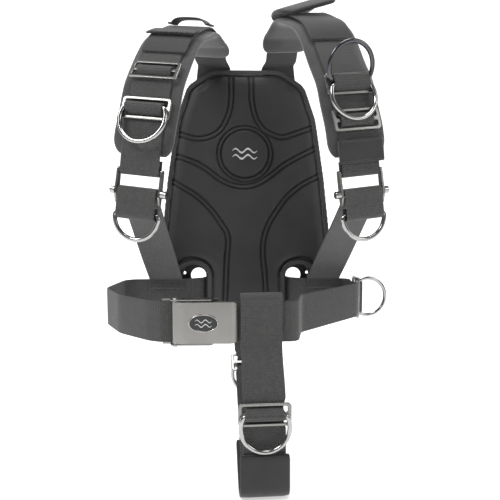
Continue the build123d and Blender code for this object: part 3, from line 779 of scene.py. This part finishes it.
# ---- belt and crotch strap ----
def belts():
    for side, name in SIDES.items():
        plane = belt_plane(side)
        path = rounded(BELT_RUN[side], BELT_RADII[side], 1.2)
        spots = []
        if side > 0:
            spots = [on_leg(BELT_RUN[1], 4, 0.55)]
            path = with_loop(path, spots[0], RING_LOOP, -1)
        path = with_loop(path, TAIL_SLIDE_SPOT, SLIDE_LOOP, -1)
        scale = narrowed(path, spots, 0.86)
        phase = 2.0 if side < 0 else 0
        obj = strip(name + "_belt_webbing", in_space(plane, path), -plane.z, web_section(WEB_W, WEB_T, 30),
                    width_scale=scale, wrinkle=soft_ripple(side * 0.7 + phase, 0.1, 60))
        finish_piece(obj, WEBBING, name + "_waist_belt")


def crotch():
    plane = crotch_plane()
    path = rounded(CROTCH_RUN, CROTCH_RADII, 1.2)
    spots = [on_leg(CROTCH_RUN, 4, 0.16), on_leg(CROTCH_RUN, 6, 0.85)]
    for spot in spots:
        path = with_loop(path, spot, RING_LOOP)
    obj = strip("crotch_webbing", in_space(plane, path), -plane.z, web_section(WEB_W, WEB_T),
                width_scale=narrowed(path, spots, 0.86), wrinkle=soft_ripple(0.4, 0.12, 52))
    finish_piece(obj, WEBBING, "crotch_strap")
    points = [(256.3, -303), (258, -352), (236, -352), (196, -311.1)]
    sleeve = offset(rounded(points, [10.5, 10.5], 1.8), WEB_T / 2 + GAP + 2.5)
    count = len(sleeve)
    ends = np.clip(np.minimum(np.arange(count), np.arange(count)[::-1]) / 3, 0, 1) ** 0.5
    pad = strip("crotch_sleeve", in_space(plane, sleeve), -plane.z, pad_section(WEB_W + 8, 5.0, 6.0, 0.4, 36),
                width_scale=0.96 + 0.04 * ends, thick_scale=0.6 + 0.4 * ends, wrinkle=soft_ripple(2.2, 0.25, 33))
    finish_piece(pad, NEOPRENE, "crotch_pad")
    rows = []
    front = CROTCH_RUN[2][0] + THREAD_LIFT
    for height in (-183, -179, -133, -129):
        rows.append(([plane.at((front, height), -21), plane.at((front, height), 21)], plane.x))
    for x in (-21, 21):
        rows.append(([plane.at((front, -183), x), plane.at((front, -129), x)], plane.x))
    stitches("crotch_stitches", rows, "harness")


def strap_tails():
    """Webbing ends turned down behind the plate."""
    for side, name in SIDES.items():
        across = np.array([math.cos(SLOT_TILT), 0, side * math.sin(SLOT_TILT)])
        down = np.array([side * math.sin(SLOT_TILT), 0, -math.cos(SLOT_TILT)])
        origin = np.array([side * PLATE_SLOT[0], 0, PLATE_SLOT[1]])
        bend = [origin + np.array([0, 0.1, 0]), origin + np.array([0, 1.2, 0]) + down * 0.1,
                origin + np.array([0, 1.9, 0]) + down * 0.6]
        hang = [origin + np.array([0, 2.2, 0]) + down * s for s in np.linspace(1.9, 48, 40)]
        centre = np.vstack([bend, hang])
        d = np.abs((centre - origin) @ down - 33)
        loop = np.interp(d, [0, 2, 3.9, 5.6, 7.6, 9.6], [7.1, 6.9, 6.0, 3.9, 1.2, 0])
        centre = resample(centre + np.array([0, 1.0, 0]) * loop[:, None], 0.9)
        obj = strip(name + "_tail_webbing", centre, across, web_section(WEB_W, WEB_T))
        finish_piece(obj, WEBBING, name + "_strap_tail")


# ---- back pad ----
GROOVES = [
    [(-23, 174), (-23, 143), (-26, 123), (-36, 101), (-50, 89), (-68, 84), (-87, 86), (-118, 96)],
    [(8, 174), (8, 143), (14, 117), (26, 99), (40, 91), (54, 87), (70, 90), (110, 104)],
    [(-126, 62), (-87, 51), (-63, 39), (-40, 22), (-20, 13), (0, 11), (19, 16), (40, 30), (64, 48), (120, 76)],
    [(-126, 26), (-94, 8), (-73, -6), (-54, -25), (-40, -44), (-30, -61), (-28, -77), (-30, -101), (-33, -176)],
    [(122, 32), (88, 15), (64, -4), (48, -25), (34, -49), (27, -72), (26, -96), (29, -125), (32, -176)],
]
NOTCH_LINES = [[(52, -127), (56, -112), (69, -102), (87, -98), (102, -104), (118, -127)],
               [(-118, -127), (-102, -104), (-87, -98), (-69, -102), (-56, -112), (-52, -127)]]
DISC = (-2.0, 61.0)


def smooth_line(points, step=1.0):
    """A smooth curve through a few points."""
    p = np.array(points, float)
    p = np.vstack([2 * p[0] - p[1], p, 2 * p[-1] - p[-2]])
    out = []
    for i in range(1, len(p) - 2):
        for t in np.linspace(0, 1, 14, endpoint=False):
            a, b, c, d = p[i - 1:i + 3]
            out.append(0.5 * (2 * b + (c - a) * t + (2 * a - 5 * b + 4 * c - d) * t * t
                              + (3 * b - a - 3 * c + d) * t ** 3))
    out.append(p[-2])
    return resample(out, step)


def distance_field(lines):
    """A tree of the lines' points in the pad's plane."""
    points = np.vstack(lines)
    tree = kdtree.KDTree(len(points))
    for i, (x, z) in enumerate(points):
        tree.insert((x, z, 0), i)
    tree.balance()
    return tree


def evaluated_copy(obj, name):
    graph = bpy.context.evaluated_depsgraph_get()
    mesh = bpy.data.meshes.new_from_object(obj.evaluated_get(graph))
    copy = bpy.data.objects.new(name, mesh)
    bpy.context.scene.collection.objects.link(copy)
    return copy


def remeshed(node, name, voxel):
    source = bpy.data.objects.new(name + "_source", NODES[node].data.copy())
    bpy.context.scene.collection.objects.link(source)
    source.modifiers.new("voxel", "REMESH").voxel_size = voxel
    copy = evaluated_copy(source, name)
    bpy.data.objects.remove(source)
    return copy


def coords(obj):
    co = np.empty(len(obj.data.vertices) * 3, np.float32)
    obj.data.vertices.foreach_get("co", co)
    return co.reshape(-1, 3).astype(float)


def set_coords(obj, co):
    obj.data.vertices.foreach_set("co", np.asarray(co, np.float32).reshape(-1))
    obj.data.update()


def swell(obj, pressure, cap):
    """Blows a closed fabric skin up with Cloth, and keeps each point within a distance of where it was."""
    before = coords(obj)
    cloth_mod = obj.modifiers.new("swell", "CLOTH")
    settings = cloth_mod.settings
    settings.use_pressure = True
    settings.uniform_pressure_force = pressure
    settings.quality = 4
    settings.tension_stiffness = 12
    settings.compression_stiffness = 12
    settings.effector_weights.gravity = 0
    cloth_mod.point_cache.frame_start = 1
    cloth_mod.point_cache.frame_end = 20
    for step in range(1, 21):
        bpy.context.scene.frame_set(step)
    swollen = evaluated_copy(obj, obj.name + "_swollen")
    after = coords(swollen)
    bpy.data.objects.remove(swollen)
    obj.modifiers.clear()
    bpy.context.scene.frame_set(1)
    move = after - before
    size = np.linalg.norm(move, axis=1)
    move *= (np.tanh(size / cap) * cap / np.maximum(size, 1e-9))[:, None]
    set_coords(obj, before + move)


def subdivide(obj, levels):
    mod = obj.modifiers.new("finer", "SUBSURF")
    mod.levels = levels
    finer = evaluated_copy(obj, obj.name + "_finer")
    obj.modifiers.clear()
    old = obj.data
    obj.data = finer.data
    bpy.data.objects.remove(finer)
    bpy.data.meshes.remove(old)


def soften(obj, rounds):
    """Evens out a mesh's points and shades it smooth."""
    smooth = obj.modifiers.new("soften", "SMOOTH")
    smooth.factor = 0.5
    smooth.iterations = rounds
    soft = evaluated_copy(obj, obj.name + "_soft")
    obj.data = soft.data
    obj.modifiers.clear()
    bpy.data.objects.remove(soft)
    obj.data.polygons.foreach_set("use_smooth", [True] * len(obj.data.polygons))


def back_pad():
    pad = remeshed("back_pad", "back_pad_padding", 0.004)
    swell(pad, 4.0, 0.006)
    subdivide(pad, 2)
    tape = remeshed("back_pad_binding", "back_pad_tape", 0.0012)
    rim = kdtree.KDTree(len(tape.data.vertices))
    for i, v in enumerate(tape.data.vertices):
        rim.insert((v.co.x, v.co.z, 0), i)
    rim.balance()
    lines = [smooth_line(g) for g in GROOVES]
    doubled = [side_line for g in lines for side_line in (offset(g, 3.3), offset(g, -3.3))]
    angle = np.linspace(0, 2 * math.pi, 260)
    for radius in (36.5, 42.5):
        doubled.append(np.stack([DISC[0] + radius * np.cos(angle), DISC[1] + radius * np.sin(angle)], axis=1))
    doubled += [smooth_line(g) for g in NOTCH_LINES]
    grooves = distance_field(doubled)
    co = coords(pad) / MM
    front = co[:, 1] < PAD_MIDDLE
    groove_shade = np.zeros(len(co), np.float32)
    for i in range(len(co)):
        x, y, z = co[i]
        edge = rim.find((x * MM, z * MM, 0))[2] / MM
        if not front[i]:
            co[i, 1] = min(y, PAD_REAR)
            continue
        crown = min(1.0, edge / 16.0)
        limit = PAD_FRONT + 0.9 - 4.2 * math.sin(crown * math.pi / 2)
        y = max(y, limit)
        near = grooves.find((x, z, 0))[2]
        reach = math.hypot(x - DISC[0], z - DISC[1])
        if edge > 0.8:
            y += GROOVE_DEPTH * math.exp(-(near / 1.35) ** 2) * min(1, edge / 3)
            y += 0.9 * math.exp(-((edge - 3.2) / 1.4) ** 2)
            if reach < DISC_RADIUS:
                y -= 1.2 * min(1, (DISC_RADIUS - reach) / 3)
        co[i, 1] = max(y, PAD_FRONT - 4.4)
        # Painted shade: the value is high in the grooves and next to the binding tape, where shade falls.
        groove_shade[i] = min(1.0, math.exp(-(near / 1.7) ** 2) + 0.7 * math.exp(-((edge - 2.4) / 1.6) ** 2))
    set_coords(pad, co * MM)
    shade = pad.data.attributes.new("groove_shade", "FLOAT", "POINT")
    shade.data.foreach_set("value", groove_shade)
    soften(pad, 1)
    finish_piece(pad, PAD_CLOTH, "back_pad")
    soften(tape, 3)
    finish_piece(tape, TAPE, "back_pad_binding")
    wave_mark("back_pad_mark", (DISC[0], PAD_FRONT - 4.9, DISC[1]), np.array([1.0, 0, 0]), np.array([0, 0, 1.0]),
              38, 15, "harness", bar=3.0)


# ---- buckle trim ----
def buckle_trim():
    lo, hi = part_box("buckle_badge")
    centre = np.array([(lo.x + hi.x) / 2, lo.y, (lo.z + hi.z) / 2]) / MM
    verts, faces = [], []
    a_half, b_half = 17.2, 10.2
    for i in range(96):
        t = 2 * math.pi * i / 96
        for k in range(8):
            s = 2 * math.pi * k / 8
            r = 0.8 * math.cos(s)
            verts.append((centre[0] + (a_half + r) * math.cos(t), centre[1] + 0.45 + 0.8 * math.sin(s),
                          centre[2] + (b_half + r) * math.sin(t)))
    for i in range(96):
        for k in range(8):
            a = i * 8 + k
            b = i * 8 + (k + 1) % 8
            c = ((i + 1) % 96) * 8
            faces.append((a, b, c + (k + 1) % 8, c + k))
    rim = new_object("buckle_badge_rim", verts, faces)
    fix_normals(rim)
    paint(rim, POLISHED)
    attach(rim, "buckle_lever")
    mark = wave_mark("buckle_badge_mark", centre + np.array([0, -0.05, 0]), np.array([1.0, 0, 0]),
                     np.array([0, 0, 1.0]), 20, 8.5, "buckle_lever", thick=0.25, bar=1.5)
    paint(mark, POLISHED)


for strap_side, strap_name in SIDES.items():
    shoulder_webbing(strap_side, strap_name)
    strap_pad(strap_side, strap_name)
    lower_straps(strap_side, strap_name)
shoulder_covers()
belts()
crotch()
strap_tails()
back_pad()
buckle_trim()


# ---- floor, light and camera ----
def stage():
    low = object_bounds()[0].z - 0.0006
    verts, faces = [], []
    profile = [(-3.5, low), (0.9, low)]
    profile += [(0.9 + 0.9 * math.sin(a), low + 0.9 * (1 - math.cos(a))) for a in np.linspace(0.08, math.pi / 2, 18)]
    profile.append((1.8, low + 4.0))
    for y, z in profile:
        verts += [(-5000, y * 1000, z * 1000), (5000, y * 1000, z * 1000)]
    for i in range(len(profile) - 1):
        faces.append((2 * i, 2 * i + 1, 2 * i + 3, 2 * i + 2))
    floor = new_object("floor", verts, faces)
    mat, tree, bsdf = material("floor_white", (0.93, 0.93, 0.93), 0.9)
    bsdf.inputs["Emission Color"].default_value = (1, 1, 1, 1)
    bsdf.inputs["Emission Strength"].default_value = 0.5
    paint(floor, mat)
    floor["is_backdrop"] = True


def area_light(name, place, size, power, aim=(0, -0.12, -0.05)):
    data = bpy.data.lights.new(name, "AREA")
    data.size = size
    data.energy = power
    lamp = bpy.data.objects.new(name, data)
    lamp.location = place
    lamp.rotation_mode = "QUATERNION"
    lamp.rotation_quaternion = (Vector(aim) - Vector(place)).to_track_quat("-Z", "Y")
    bpy.context.scene.collection.objects.link(lamp)


stage()
area_light("key", (-1.2, -1.1, 1.5), 0.8, 26)
area_light("fill", (1.5, -1.0, 0.7), 0.8, 7)
area_light("top", (0.15, -0.45, 1.7), 0.8, 14)
area_light("back", (0.0, 1.3, 0.9), 1.2, 8, (0, 0, 0))

world = bpy.data.worlds.new("studio")
world.use_nodes = True
world.node_tree.nodes["Background"].inputs["Color"].default_value = (1, 1, 1, 1)
world.node_tree.nodes["Background"].inputs["Strength"].default_value = 0.16
bpy.context.scene.world = world
bpy.context.scene.view_settings.view_transform = "Standard"

camera_data = bpy.data.cameras.new("camera")
camera_data.lens = 39.6
camera_data.sensor_width = 36
camera = bpy.data.objects.new("camera", camera_data)
camera.location = (-0.025, -0.870, -0.0124)
camera.rotation_euler = (math.radians(85), 0, math.radians(-2.08))
bpy.context.scene.collection.objects.link(camera)
bpy.context.scene.camera = camera
